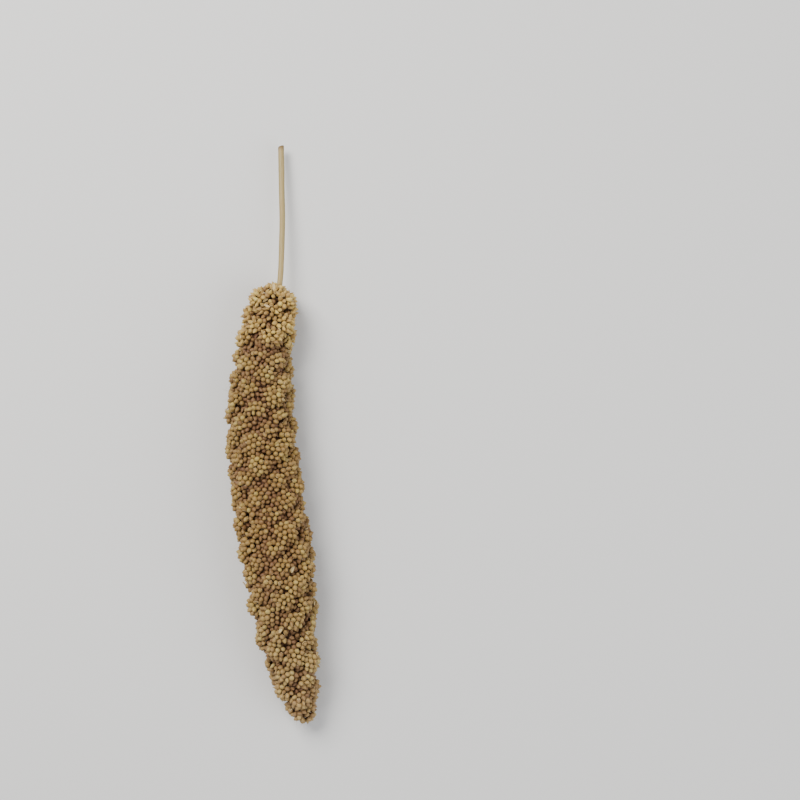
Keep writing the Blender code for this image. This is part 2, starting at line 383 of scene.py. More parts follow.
class NodeMaker:
    """Adds nodes to one tree."""

    def __init__(self, tree: bpy.types.NodeTree) -> None:
        """Keeps the tree."""
        self.tree = tree

    def add(self, kind: str, settings: Optional[dict[str, Any]] = None,
            inputs: Optional[dict[Union[int, str], Any]] = None, output: Union[int, str] = 0) -> Wire:
        """One node with its settings and inputs.

        Args:
            kind: the node's type.
            settings: its properties; "stops" sets a colour ramp.
            inputs: values or wires by socket name or number.
            output: which output is wanted.

        Returns:
            That output, or the node itself in a wire where it has none.
        """
        node = self.tree.nodes.new(kind)
        for name, value in (settings or {}).items():
            if name == "stops":
                self._set_stops(node.color_ramp, value)
            else:
                setattr(node, name, value)
        for key, value in (inputs or {}).items():
            if isinstance(value, Wire):
                self.tree.links.new(value.socket, node.inputs[key])
            else:
                node.inputs[key].default_value = value
        if not node.outputs:
            return Wire(self, node)
        return Wire(self, node.outputs[output])

    @staticmethod
    def _set_stops(ramp: bpy.types.ColorRamp, stops: Sequence[tuple[float, Colour]]) -> None:
        """Gives a colour ramp its stops.

        Args:
            ramp: the ramp.
            stops: position and colour of each stop, in order.
        """
        while len(ramp.elements) < len(stops):
            ramp.elements.new(0.5)
        for element, (position, colour) in zip(ramp.elements, stops):
            element.position = position
            element.color = colour

    def attribute(self, name: str) -> Wire:
        """A number kept on the piece's points."""
        return self.add("ShaderNodeAttribute", {"attribute_name": name}, output="Fac")

    def direction(self, name: str) -> Wire:
        """A vector kept on the piece's points."""
        return self.add("ShaderNodeAttribute", {"attribute_name": name}, output="Vector")

    def place(self) -> Wire:
        """Object coordinates, in metres."""
        return self.add("ShaderNodeTexCoord", output="Object")

    def noise(self, vector: Wire, per_metre: float, detail: float = 2.0, roughness: float = 0.5) -> Wire:
        """Noise from 0 to 1.

        Args:
            vector: where it is read.
            per_metre: its scale.
            detail: its octaves.
            roughness: how strong the fine octaves are.

        Returns:
            The noise value.
        """
        inputs = {"Vector": vector, "Scale": per_metre, "Detail": detail, "Roughness": roughness}
        return self.add("ShaderNodeTexNoise", {}, inputs, output="Fac")

    def ramp(self, value: Wire, stops: Sequence[tuple[float, Colour]]) -> Wire:
        """A colour that follows a value.

        Args:
            value: the value, from 0 to 1.
            stops: position and colour of each stop.

        Returns:
            The colour.
        """
        return self.add("ShaderNodeValToRGB", {"stops": stops}, {"Fac": value}, output="Color")

    def mix(self, share: Union[float, Wire], first: Any, second: Any, blend: str = "MIX") -> Wire:
        """Two colours mixed.

        Args:
            share: how much of the second.
            first: a colour or wire.
            second: a colour or wire.
            blend: the Mix node's blend type.

        Returns:
            The colour.
        """
        settings = {"data_type": "RGBA", "blend_type": blend}
        return self.add("ShaderNodeMix", settings, {0: share, 6: first, 7: second}, output=2)

    def bump(self, height: Wire, strength: float, distance: float) -> Wire:
        """A surface normal from a height.

        Args:
            height: the height, about 0 to 1.
            strength: how much of it shows.
            distance: the height of 1, in metres.

        Returns:
            The normal.
        """
        return self.add("ShaderNodeBump", {}, {"Height": height, "Strength": strength, "Distance": distance})


def new_material(name: str) -> tuple[bpy.types.Material, NodeMaker]:
    """An empty node material.

    Args:
        name: its name.

    Returns:
        The material, and the maker for its nodes.
    """
    material = bpy.data.materials.new(name)
    material.use_nodes = True
    material.node_tree.nodes.clear()
    return material, NodeMaker(material.node_tree)


def surface_output(maker: NodeMaker, base: Any, roughness: Any, normal: Optional[Wire] = None,
                   specular: float = 0.5) -> None:
    """Ends a material in a Principled shader.

    Args:
        maker: the material's node maker.
        base: base colour.
        roughness: roughness, a value or wire.
        normal: bumped normal, if there is one.
        specular: strength of the plain reflection.
    """
    inputs: dict[Union[int, str], Any] = {
        "Base Color": base, "Roughness": roughness, "Specular IOR Level": specular,
    }
    if normal is not None:
        inputs["Normal"] = normal
    shader = maker.add("ShaderNodeBsdfPrincipled", {}, inputs)
    maker.add("ShaderNodeOutputMaterial", {}, {"Surface": shader})


@dataclass(frozen=True)
class HuskFinish:
    """The dry, satin husks of the seeds, from pale straw over gold to brown, with painted shade between the
    seeds and a painted haze of glare towards the tip.
    """

    name: str = "millet_husk"
    tints: tuple[tuple[float, Colour], ...] = (
        (0.00, tone(136, 98, 58)),
        (0.30, tone(179, 139, 81)),
        (0.62, tone(202, 163, 92)),
        (0.88, tone(216, 182, 104)),
        (1.00, tone(220, 190, 112)),
    )
    # Tone along the head; the greyer, bluer stops at the lower end and tip paint a haze of glare over the
    # husks.
    lengthwise: tuple[tuple[float, Colour], ...] = (
        (0.00, (0.90, 0.98, 0.96, 1.0)),
        (0.11, (0.90, 0.98, 0.94, 1.0)),
        (0.17, (0.60, 0.64, 0.62, 1.0)),
        (0.55, (0.52, 0.51, 0.48, 1.0)),
        (0.80, (0.61, 0.65, 0.70, 1.0)),
        (1.00, (0.64, 0.67, 0.86, 1.0)),
    )
    # Tone of the painted shade at the seeds' feet and on deep-set seeds; the dark seam lines use it too.
    gap: Colour = tone(106, 71, 50)
    glume: Colour = tone(206, 186, 140)
    roughness: float = 0.52
    roughness_spread: float = 0.25
    specular: float = 0.3
    patch_per_metre: float = 110.0
    patch_strength: float = 0.55
    grain_per_metre: float = 5200.0
    grain_strength: float = 0.18
    glume_strength: float = 0.75
    foot_shade: float = 0.70
    seam_shade: float = 0.18
    depth_shade: float = 0.80
    relief_strength: float = 0.6
    relief_depth: float = 0.00004

    def material(self) -> bpy.types.Material:
        """The husk material."""
        material, maker = new_material(self.name)
        place = maker.place()
        height = maker.attribute("height")
        depth = maker.attribute("depth")
        papery = maker.attribute("papery")
        seam = maker.attribute("seam")
        patch = maker.noise(place, self.patch_per_metre)
        grain = maker.noise(place, self.grain_per_metre, 3.0, 0.6)
        tint = maker.attribute("tint") + (patch - 0.5) * self.patch_strength
        tint = (tint + (grain - 0.5) * self.grain_strength).clamped()
        colour = maker.ramp(tint, self.tints)
        # Tone along the head, with a painted haze of glare towards the tip.
        lengthwise = maker.ramp(maker.attribute("along"), self.lengthwise)
        colour = maker.mix(1.0, colour, lengthwise, "MULTIPLY")
        colour = maker.mix(papery.between(0.4, 0.6) * self.glume_strength, colour, self.glume)
        # Painted shade: the lower part of each seed and the seeds set deep in the head darken towards the
        # gap tone, where shade falls between the seeds; the seam lines darken with it.
        line = (1.0 - seam.between(0.10, 0.34)) * height.between(0.15, 0.4)
        low = 1.0 - height.between(-0.05, 0.62)
        shade = low * self.foot_shade + line * self.seam_shade
        shade = (shade + depth.between(0.10, 0.80) * self.depth_shade).clamped()
        colour = maker.mix(shade, colour, self.gap)
        relief = grain * 0.5 - line * 0.8
        roughness = (grain - 0.5) * self.roughness_spread + self.roughness
        normal = maker.bump(relief, self.relief_strength, self.relief_depth)
        surface_output(maker, colour, roughness, normal, specular=self.specular)
        return material


@dataclass(frozen=True)
class ChaffFinish:
    """Loose papery scales, pale and faintly veined."""

    name: str = "papery_chaff"
    pale: Colour = tone(196, 172, 122)
    worn: Colour = tone(156, 126, 80)
    roughness: float = 0.62
    vein_per_metre: float = 2600.0
    vein_strength: float = 0.9
    relief_strength: float = 0.5
    relief_depth: float = 0.00003

    def material(self) -> bpy.types.Material:
        """The chaff material."""
        material, maker = new_material(self.name)
        veins = maker.noise(maker.place(), self.vein_per_metre, 3.0, 0.55)
        share = (maker.attribute("tint") * 0.7 + (veins - 0.5) * self.vein_strength).clamped()
        colour = maker.mix(share, self.pale, self.worn)
        normal = maker.bump(veins, self.relief_strength, self.relief_depth)
        surface_output(maker, colour, self.roughness, normal)
        return material


@dataclass(frozen=True)
class BristleFinish:
    """Fine dry bristles, straw in some places and browner in others, in patches."""

    name: str = "dry_bristle"
    base: Colour = tone(196, 168, 112)
    tip: Colour = tone(142, 104, 60)
    roughness: float = 0.5
    change_per_metre: float = 420.0

    def material(self) -> bpy.types.Material:
        """The bristle material."""
        material, maker = new_material(self.name)
        change = maker.noise(maker.place(), self.change_per_metre)
        colour = maker.mix(change.between(0.35, 0.65), self.base, self.tip)
        surface_output(maker, colour, self.roughness)
        return material


@dataclass(frozen=True)
class BranchFinish:
    """The dark inside of the head: side branches, stem and shed husks, in browns darkened as painted shade
    for the deep inside of the head.
    """

    name: str = "inner_branch"
    # Browns darkened to paint the shade deep inside the head.
    dark: Colour = tone(98, 62, 40)
    lighter: Colour = tone(128, 90, 56)
    roughness: float = 0.8
    fleck_per_metre: float = 900.0
    relief_strength: float = 0.7
    relief_depth: float = 0.0003

    def material(self) -> bpy.types.Material:
        """The inner material."""
        material, maker = new_material(self.name)
        flecks = maker.noise(maker.place(), self.fleck_per_metre, 4.0, 0.6)
        colour = maker.mix(flecks.between(0.45, 0.75), self.dark, self.lighter)
        normal = maker.bump(flecks, self.relief_strength, self.relief_depth)
        surface_output(maker, colour, self.roughness, normal)
        return material


@dataclass(frozen=True)
class StrawFinish:
    """The ribbed straw of the stalk, olive to brown, with fine lengthwise streaks and a paler cut face."""

    name: str = "ribbed_straw"
    streaks: tuple[tuple[float, Colour], ...] = (
        (0.15, tone(118, 94, 50)),
        (0.42, tone(164, 139, 84)),
        (0.66, tone(184, 162, 106)),
        (0.90, tone(206, 190, 142)),
    )
    green: Colour = tone(138, 132, 82)
    cut: Colour = tone(96, 68, 38)
    pith: Colour = tone(218, 204, 164)
    roughness: float = 0.44
    roughness_spread: float = 0.3
    fine_scale: float = 8.32
    broad_scale: float = 1.76
    green_strength: float = 0.55
    browning: float = 0.7
    groove_shade: float = 0.35
    relief_strength: float = 0.7
    relief_depth: float = 0.00006

    def material(self) -> bpy.types.Material:
        """The straw material."""
        material, maker = new_material(self.name)
        lane = maker.direction("lane")
        fine = maker.noise(lane, self.fine_scale, 3.0, 0.6)
        broad = maker.noise(lane, self.broad_scale)
        streak = (fine * 0.75 + broad * 0.35 - 0.05).clamped()
        colour = maker.ramp(streak, self.streaks)
        colour = maker.mix(broad.between(0.42, 0.66) * self.green_strength, colour, self.green)
        browned = maker.attribute("near_cut").between(0.0, 1.0) * self.browning
        colour = maker.mix(browned, colour, self.cut)
        groove = maker.attribute("groove")
        colour = maker.mix(groove * self.groove_shade, colour, self.cut)
        colour = maker.mix(maker.attribute("pith").between(0.3, 0.7), colour, self.pith)
        relief = fine * 0.7 - groove * 0.6
        roughness = (fine - 0.5) * self.roughness_spread + self.roughness
        normal = maker.bump(relief, self.relief_strength, self.relief_depth)
        surface_output(maker, colour, roughness, normal)
        return material


@dataclass(frozen=True)
class FloorFinish:
    """A plain pale matt surface."""

    name: str = "pale_floor"
    colour: Colour = tone(221, 220, 217)
    roughness: float = 0.75
    specular: float = 0.2

    def material(self) -> bpy.types.Material:
        """The floor material."""
        material, maker = new_material(self.name)
        surface_output(maker, self.colour, self.roughness, specular=self.specular)
        return material


def mesh_object(name: str, vertices: Sequence[Any], faces: Sequence[Sequence[int]], smooth: bool = True,
                numbers: Optional[dict[str, Any]] = None) -> bpy.types.Object:
    """A mesh object at the origin, in metres, from points in millimetres.

    Args:
        name: its name.
        vertices: points in millimetres.
        faces: corners of each face.
        smooth: whether its faces are shaded smooth.
        numbers: values to keep on its points, by name: one number or one vector per point.

    Returns:
        The object, not yet in the scene.
    """
    mesh = bpy.data.meshes.new(name)
    mesh.from_pydata([tuple(Vector(v) * METRES) for v in vertices], [], faces)
    for key, values in (numbers or {}).items():
        rows = np.asarray(values, dtype=np.float32)
        if rows.ndim == 2:
            mesh.attributes.new(key, "FLOAT_VECTOR", "POINT").data.foreach_set("vector", rows.ravel())
        else:
            mesh.attributes.new(key, "FLOAT", "POINT").data.foreach_set("value", rows)
    if smooth and faces:
        mesh.shade_smooth()
    return bpy.data.objects.new(name, mesh)


def face_outwards(made: bpy.types.Object) -> bpy.types.Object:
    """Turns a closed mesh's faces outwards.

    Args:
        made: the object.

    Returns:
        The same object.
    """
    bm = bmesh.new()
    bm.from_mesh(made.data)
    bmesh.ops.recalc_face_normals(bm, faces=bm.faces[:])
    bm.to_mesh(made.data)
    bm.free()
    return made


class GrownTree:
    """A Geometry Nodes tree with named inputs, and how it is run on a piece."""

    def __init__(self, name: str, inputs: Sequence[tuple[str, str]]) -> None:
        """Makes the tree's sockets.

        Args:
            name: the tree's name.
            inputs: name and socket type of each input after the geometry.
        """
        self.tree = bpy.data.node_groups.new(name, "GeometryNodeTree")
        self.tree.interface.new_socket("Places", in_out="INPUT", socket_type="NodeSocketGeometry")
        for label, kind in inputs:
            self.tree.interface.new_socket(label, in_out="INPUT", socket_type=kind)
        self.tree.interface.new_socket("Grown", in_out="OUTPUT", socket_type="NodeSocketGeometry")
        self.maker = NodeMaker(self.tree)
        self.inlet = self.tree.nodes.new("NodeGroupInput")

    def given(self, name: str) -> Wire:
        """One of the tree's inputs."""
        return Wire(self.maker, self.inlet.outputs[name])

    def turned(self) -> Wire:
        """The turn that each place keeps for its shape."""
        settings = {"data_type": "FLOAT_VECTOR"}
        facing = self.maker.add("GeometryNodeInputNamedAttribute", settings, {"Name": "facing"})
        return self.maker.add("FunctionNodeEulerToRotation", {}, {"Euler": facing})

    def end(self, grown: Wire) -> None:
        """Realizes the instances, gives them the finish and ends the tree.

        Args:
            grown: the geometry.
        """
        real = self.maker.add("GeometryNodeRealizeInstances", {}, {"Geometry": grown})
        finish = self.given("Finish")
        dressed = self.maker.add("GeometryNodeSetMaterial", {}, {"Geometry": real, "Material": finish})
        self.maker.add("NodeGroupOutput", {}, {"Grown": dressed})

    def run(self, places: bpy.types.Object, values: dict[str, Any], name: str) -> bpy.types.Object:
        """Grows the tree on a piece and keeps the result as a plain mesh.

        Args:
            places: the object that the tree runs on, which is used up.
            values: the tree's inputs by name.
            name: the new piece's name.

        Returns:
            The grown piece, in the scene.
        """
        bpy.context.scene.collection.objects.link(places)
        modifier = places.modifiers.new("grown", "NODES")
        modifier.node_group = self.tree
        for item in self.tree.interface.items_tree:
            if item.in_out == "INPUT" and item.name in values:
                modifier[item.identifier] = values[item.name]
        graph = bpy.context.evaluated_depsgraph_get()
        mesh = bpy.data.meshes.new_from_object(
            places.evaluated_get(graph), preserve_all_data_layers=True, depsgraph=graph
        )
        bpy.data.objects.remove(places)
        mesh.name = name
        piece = bpy.data.objects.new(name, mesh)
        bpy.context.scene.collection.objects.link(piece)
        return piece


class ShapeScatter(GrownTree):
    """Stands one of several shapes on every place, turned as the place says."""

    def __init__(self) -> None:
        """Builds the tree."""
        super().__init__("shape_scatter", (
            ("Shapes", "NodeSocketCollection"),
            ("Least Size", "NodeSocketFloat"),
            ("Greatest Size", "NodeSocketFloat"),
            ("Shape Count", "NodeSocketInt"),
            ("Random Seed", "NodeSocketInt"),
            ("Finish", "NodeSocketMaterial"),
        ))
        maker = self.maker
        shapes = maker.add("GeometryNodeCollectionInfo", {}, {
            "Collection": self.given("Shapes"), "Separate Children": True, "Reset Children": True,
        })
        size = maker.add("FunctionNodeRandomValue", {"data_type": "FLOAT"}, {
            2: self.given("Least Size"), 3: self.given("Greatest Size"), "Seed": self.given("Random Seed"),
        }, output=1)
        last = self.given("Shape Count") - 1.0
        which = maker.add("FunctionNodeRandomValue", {"data_type": "INT"}, {
            4: 0, 5: last, "Seed": self.given("Random Seed") + 1.0,
        }, output=2)
        self.end(maker.add("GeometryNodeInstanceOnPoints", {}, {
            "Points": self.given("Places"), "Instance": shapes, "Pick Instance": True,
            "Instance Index": which, "Rotation": self.turned(), "Scale": size,
        }))


class BristleScatter(GrownTree):
    """Stands a fine tapering bent bristle on every place."""

    def __init__(self) -> None:
        """Builds the tree."""
        super().__init__("bristle_scatter", (
            ("Length", "NodeSocketFloat"),
            ("Thickness", "NodeSocketFloat"),
            ("Bend", "NodeSocketFloat"),
            ("Taper", "NodeSocketFloat"),
            ("Least Size", "NodeSocketFloat"),
            ("Random Seed", "NodeSocketInt"),
            ("Finish", "NodeSocketMaterial"),
        ))
        maker = self.maker
        length, bend = self.given("Length"), self.given("Bend")
        middle = maker.add("ShaderNodeCombineXYZ", {}, {"Z": length * 0.5})
        end = maker.add("ShaderNodeCombineXYZ", {}, {"X": bend, "Z": length})
        line = maker.add("GeometryNodeCurveQuadraticBezier", {}, {
            "Resolution": 4, "Start": (0.0, 0.0, 0.0), "Middle": middle, "End": end,
        })
        share = maker.add("GeometryNodeSplineParameter", output="Factor")
        section = maker.add("GeometryNodeCurvePrimitiveCircle", {}, {
            "Resolution": 3, "Radius": self.given("Thickness"),
        })
        narrowed = 1.0 - share * self.given("Taper")
        bristle = maker.add("GeometryNodeCurveToMesh", {}, {
            "Curve": line, "Profile Curve": section, "Scale": narrowed, "Fill Caps": True,
        })
        size = maker.add("FunctionNodeRandomValue", {"data_type": "FLOAT"}, {
            2: self.given("Least Size"), 3: 1.0, "Seed": self.given("Random Seed"),
        }, output=1)
        self.end(maker.add("GeometryNodeInstanceOnPoints", {}, {
            "Points": self.given("Places"), "Instance": bristle, "Rotation": self.turned(), "Scale": size,
        }))


class TwigSweep(GrownTree):
    """Sweeps a round section along every edge of a piece."""

    def __init__(self) -> None:
        """Builds the tree."""
        super().__init__("twig_sweep", (
            ("Radius", "NodeSocketFloat"),
            ("Sides", "NodeSocketInt"),
            ("Finish", "NodeSocketMaterial"),
        ))
        maker = self.maker
        line = maker.add("GeometryNodeMeshToCurve", {}, {"Mesh": self.given("Places")})
        section = maker.add("GeometryNodeCurvePrimitiveCircle", {}, {
            "Resolution": self.given("Sides"), "Radius": self.given("Radius"),
        })
        self.end(maker.add("GeometryNodeCurveToMesh", {}, {
            "Curve": line, "Profile Curve": section, "Fill Caps": True,
        }))


class SeedKind(Enum):
    """The two forms that a seed in its husks takes."""

    ROUND = "round"
    LONG = "long"


@dataclass
class SeedShape:
    """One seed in its husks, standing along Z with its foot down, and one short papery glume at its foot."""

    length: float
    width: float
    thickness: float
    fullest: float = 0.46
    point: float = 0.25
    bulge: float = 0.62
    flat_side: float = 0.8
    seam_offset: float = 0.25
    rings: int = 5
    sides: int = 8
    glume_foot: float = 0.08
    glume_reach: float = 0.45
    glume_edge: float = 0.55
    glume_stand: float = 0.05
    glume_sunk: float = 0.02
    glume_turns: tuple[float, ...] = (-165.0, -115.0, -65.0, -15.0)

    def profile(self, share: float) -> float:
        """Half width at a share of the length, where 1 is the fullest place."""
        bent = share ** (math.log(0.5) / math.log(self.fullest))
        full = math.sin(math.pi * bent) ** self.bulge
        return full * (1.0 - self.point * max(bent - 0.5, 0.0) * 2.0 * bent)

    def spot(self, share: float, turn: float, out: float = 0.0) -> Vector:
        """A point of the husk.

        Args:
            share: share of the length from the foot.
            turn: angle round the seed.
            out: distance beyond the surface.

        Returns:
            The point, in millimetres.
        """
        reach = self.profile(share)
        flattened = self.flat_side if math.sin(turn) < 0.0 else 1.0
        x = math.cos(turn) * (self.width / 2.0 * reach + out)
        y = math.sin(turn) * (self.thickness / 2.0 * reach * flattened + out)
        return Vector((x, y, self.length * (share - 0.5)))

    def build(self, name: str) -> bpy.types.Object:
        """The seed's mesh, with its height, seam and papery parts kept on its points.

        Args:
            name: its name.

        Returns:
            The object, not in the scene.
        """
        vertices = [Vector((0.0, 0.0, -self.length / 2.0))]
        height, seam, papery = [0.0], [1.0], [0.0]
        faces: list[tuple[int, ...]] = []
        for ring in range(1, self.rings):
            share = (1.0 - math.cos(math.pi * ring / self.rings)) / 2.0
            for side in range(self.sides):
                turn = math.tau * side / self.sides
                vertices.append(self.spot(share, turn))
                height.append(share)
                seam.append(abs(math.sin(turn) + self.seam_offset))
                papery.append(0.0)
        vertices.append(Vector((0.0, 0.0, self.length / 2.0)))
        height.append(1.0)
        seam.append(1.0)
        papery.append(0.0)
        top = len(vertices) - 1
        for side in range(self.sides):
            after = (side + 1) % self.sides
            faces.append((0, 1 + after, 1 + side))
            for ring in range(self.rings - 2):
                a = 1 + ring * self.sides
                b = a + self.sides
                faces.append((a + side, a + after, b + after, b + side))
            a = 1 + (self.rings - 2) * self.sides
            faces.append((a + side, a + after, top))
        self._add_glume(vertices, faces, (height, seam, papery))
        numbers = {"height": height, "seam": seam, "papery": papery}
        return face_outwards(mesh_object(name, vertices, faces, numbers=numbers))

    def _add_glume(self, vertices: list[Vector], faces: list[tuple[int, ...]],
                   numbers: tuple[list[float], list[float], list[float]]) -> None:
        """Adds the glume as a thin closed scale round one side of the foot.

        Args:
            vertices: the seed's points, added to.
            faces: the seed's faces, added to.
            numbers: height, seam and papery values, added to.
        """
        first = len(vertices)
        reaches = (self.glume_edge, 1.0, 1.0, self.glume_edge)
        for out in (self.glume_stand, -self.glume_sunk):
            for turn, reach in zip(self.glume_turns, reaches):
                for share in (self.glume_foot, self.glume_reach * reach):
                    vertices.append(self.spot(share, math.radians(turn), out))
                    numbers[0].append(max(share + 0.25, 0.4))
                    numbers[1].append(1.0)
                    numbers[2].append(1.0)
        inner = first + 8
        for k in range(3):
            a, b = first + 2 * k, first + 2 * k + 2
            faces.append((a, b, b + 1, a + 1))
            faces.append((inner + 2 * k, inner + 2 * k + 1, inner + 2 * k + 3, inner + 2 * k + 2))
            faces.append((a + 1, b + 1, inner + 2 * k + 3, inner + 2 * k + 1))
            faces.append((b, a, inner + 2 * k, inner + 2 * k + 2))
        faces.append((first, first + 1, inner + 1, inner))
        faces.append((first + 7, first + 6, inner + 6, inner + 7))


@dataclass
class FlakeShape:
    """A loose papery scale: a thin closed boat, pointed at both ends."""

    length: float = 2.3
    width: float = 1.15
    curl: float = 0.42
    cross_curl: float = 0.8
    end_curl: float = 0.7
    blunt_end: float = 0.06
    thickness: float = 0.06
    rows: int = 6

    def build(self, name: str) -> bpy.types.Object:
        """The scale's mesh.

        Args:
            name: its name.

        Returns:
            The object, not in the scene.
        """
        outer: list[Vector] = []
        for row in range(self.rows + 1):
            share = row / self.rows
            inset = self.blunt_end + (1.0 - 2.0 * self.blunt_end) * share
            half = self.width / 2.0 * math.sin(math.pi * inset) ** 0.8
            for side in (-1.0, -0.5, 0.0, 0.5, 1.0):
                lift = side * side * self.cross_curl + (2.0 * share - 1.0) ** 2 * self.end_curl
                outer.append(Vector((side * half, self.length * (share - 0.5), self.curl * lift)))
        count = len(outer)
        vertices = outer + [point - Vector((0.0, 0.0, self.thickness)) for point in outer]
        faces: list[tuple[int, ...]] = []
        for row in range(self.rows):
            for column in range(4):
                a = row * 5 + column
                faces.append((a, a + 1, a + 6, a + 5))
                faces.append((count + a, count + a + 5, count + a + 6, count + a + 1))
        last = self.rows * 5
        rim = [0, 1, 2, 3, *range(4, last, 5), *range(last + 4, last, -1), *range(last, 0, -5)]
        for a, b in zip(rim, rim[1:] + rim[:1]):
            faces.append((a, b, count + b, count + a))
        return face_outwards(mesh_object(name, vertices, faces))


def turned_to(outward: Vector, roll: float) -> tuple[float, float, float]:
    """The turn that stands a shape's Z along a direction.

    Args:
        outward: the direction.
        roll: extra turn about it.

    Returns:
        Euler angles.
    """
    stand = outward.to_track_quat("Z", "Y") @ Quaternion((0.0, 0.0, 1.0), roll)
    return tuple(stand.to_euler())


@dataclass
class SeedPlaces:
    """Where every seed sits: in layers on the clusters' spheres, pushed apart until they fit."""

    outline: HeadOutline
    spacing: float = 1.90
    seed_half: float = 0.95
    jitter: float = 0.16
    rounds: int = 20
    push: float = 0.55
    furthest_round: float = -0.45
    buried: float = 0.75
    least_apart: float = 1.42
    deepest_share: float = 0.42
    stalk_clearance: float = 1.75
    lean: float = 0.16
    scatter: float = 0.26
    furrow_at: float = 20.5
    furrow_width: float = 1.7
    furrow_depth: float = 1.5
    dark_depth: float = 3.4
    valley_sink: float = 0.20
    inner_layers: tuple[tuple[float, float], ...] = ((2.4, 1.55), (3.6, 1.50))
    inner_area: float = 0.5
    inner_recent: int = 400
    random_seed: int = 23

    def __post_init__(self) -> None:
        """Places the seeds."""
        self.draw = random.Random(self.random_seed)
        self.clusters = self.outline.clusters()
        self._fill_spheres()
        self._push_apart()
        self._keep_fitting()
        self._fill_gaps()
        self._settle()

    def _fill_spheres(self) -> None:
        """Seeds on a spiral over the outer part of each cluster's sphere."""
        points, owners = [], []
        for owner, cluster in enumerate(self.clusters):
            shell = cluster.size - self.seed_half
            count = round(4.0 * math.pi * shell**2 / (self.spacing**2 * HEX_SHARE))
            across = cluster.outward.orthogonal().normalized()
            along = cluster.outward.cross(across)
            first = self.draw.uniform(0.0, math.tau)
            for n in range(count):
                cosine = 1.0 - 2.0 * (n + 0.5) / count
                if cosine < self.furthest_round:
                    break
                sine = math.sqrt(1.0 - cosine * cosine)
                turn = first + n * GOLDEN_ANGLE
                sideways = across * math.cos(turn) + along * math.sin(turn)
                jitter = Vector([self.draw.gauss(0.0, self.jitter) for _ in range(3)])
                points.append(cluster.centre + (cluster.outward * cosine + sideways * sine) * shell + jitter)
                owners.append(owner)
        self.points = np.array([tuple(point) for point in points])
        self.owners = np.array(owners)
        self.centres = np.array([tuple(cluster.centre) for cluster in self.clusters])
        self.shells = np.array([cluster.size - self.seed_half for cluster in self.clusters])

    def _push_apart(self) -> None:
        """Moves seeds that are too close away from each other, each on its own sphere."""
        for _ in range(self.rounds):
            tree = kdtree.KDTree(len(self.points))
            for k, point in enumerate(self.points):
                tree.insert(point, k)
            tree.balance()
            moves = np.zeros_like(self.points)
            for k, point in enumerate(self.points):
                for other, n, gap in tree.find_range(point, self.spacing):
                    if n != k and gap > 0.0:
                        moves[k] += (point - np.array(other)) * ((self.spacing - gap) / gap * self.push)
            offsets = self.points + moves * 0.5 - self.centres[self.owners]
            offsets /= np.linalg.norm(offsets, axis=1, keepdims=True)
            self.points = self.centres[self.owners] + offsets * self.shells[self.owners, None]

    def _keep_fitting(self) -> None:
        """Drops the seeds that another cluster buries, and one of any two that still overlap."""
        order = list(range(len(self.points)))
        self.draw.shuffle(order)
        kept: list[int] = []
        tree = kdtree.KDTree(len(self.points))
        for k, point in enumerate(self.points):
            tree.insert(point, k)
        tree.balance()
        taken = [False] * len(self.points)
        for k in order:
            point = self.points[k]
            gaps = np.linalg.norm(self.centres - point, axis=1)
            gaps[self.owners[k]] = math.inf
            if np.any(gaps < self.shells - self.buried):
                continue
            if any(taken[n] for _, n, _ in tree.find_range(point, self.least_apart)):
                continue
            taken[k] = True
            kept.append(k)
        kept.sort()
        self.points = self.points[kept]
        self.owners = self.owners[kept]

    def _fill_gaps(self) -> None:
        """Adds seeds further in, wherever no other seed is near."""
        points = [Vector(point) for point in self.points]
        owners = list(self.owners)
        tree = kdtree.KDTree(len(points))
        for k, point in enumerate(points):
            tree.insert(point, k)
        tree.balance()
        outline = self.outline
        for depth, apart in self.inner_layers:
            added: list[Vector] = []
            area = turn = 0.0
            u = outline.walk / 2.0
            while u < outline.total:
                _, tilt, radius = outline.at(u)
                inner = radius - depth
                area += math.tau * inner * math.cos(tilt) * outline.walk * inner / radius
                while area > self.inner_area:
                    area -= self.inner_area
                    turn += GOLDEN_ANGLE
                    start, outward, _ = outline.ray(u, turn)
                    point = start + outward * inner
                    clear = all((point - other).length > apart for other in added[-self.inner_recent:])
                    if clear and tree.find(point)[2] > apart:
                        added.append(point)
                u += outline.walk
            points += added
            owners += [self._nearest_cluster(point) for point in added]
        self.points = np.array([tuple(point) for point in points])
        self.owners = np.array(owners)

    def _nearest_cluster(self, point: Vector) -> int:
        """Number of the cluster whose middle is nearest."""
        return int(np.argmin(np.linalg.norm(self.centres - np.array(tuple(point)), axis=1)))

    def _settle(self) -> None:
        """Gives each seed its direction, position along the head and depth."""
        axis = self.outline.axis
        self.places: list[Vector] = []
        self.outwards: list[Vector] = []
        self.along: list[float] = []
        self.depth: list[float] = []
        for point, owner in zip(self.points, self.owners):
            place = Vector(point)
            s, offset = axis.nearest(place)
            radius = self.outline.radius(min(max(s, self.outline.neck_cap), self.outline.tip_s))
            reach = offset.length
            if s < self.outline.neck_cap:
                if offset.length < self.stalk_clearance:
                    continue
                reach = (place - axis.at(self.outline.neck_cap)[0]).length
            elif s > self.outline.tip_s:
                reach = (place - axis.at(self.outline.tip_s)[0]).length
            if reach < radius * self.deepest_share:
                continue
            outward = (place - self.clusters[owner].centre).normalized()
            facing_up = min(max(outward.z * 2.0 + 0.6, 0.0), 1.0)
            beside = (s - self.furrow_at) / self.furrow_width
            sink = self.furrow_depth * facing_up * math.exp(-(beside**2))
            sink += max(radius - self.seed_half - reach, 0.0) * self.valley_sink
            place = place - offset.normalized() * sink
            tangent = axis.at(s)[1]
            wander = Vector([self.draw.gauss(0.0, self.scatter) for _ in range(3)])
            self.places.append(place)
            self.outwards.append((outward + tangent * self.lean + wander).normalized())
            self.along.append(s / axis.length)
            below = radius - self.seed_half - reach + sink
            self.depth.append(min(max(below / self.dark_depth, 0.0), 1.0))

    def __len__(self) -> int:
        """Number of seeds."""
        return len(self.places)


@dataclass
class SeedStretch:
    """A stretch of the head whose seeds make one piece."""

    name: str
    start: float
    end: float
    long_share: float


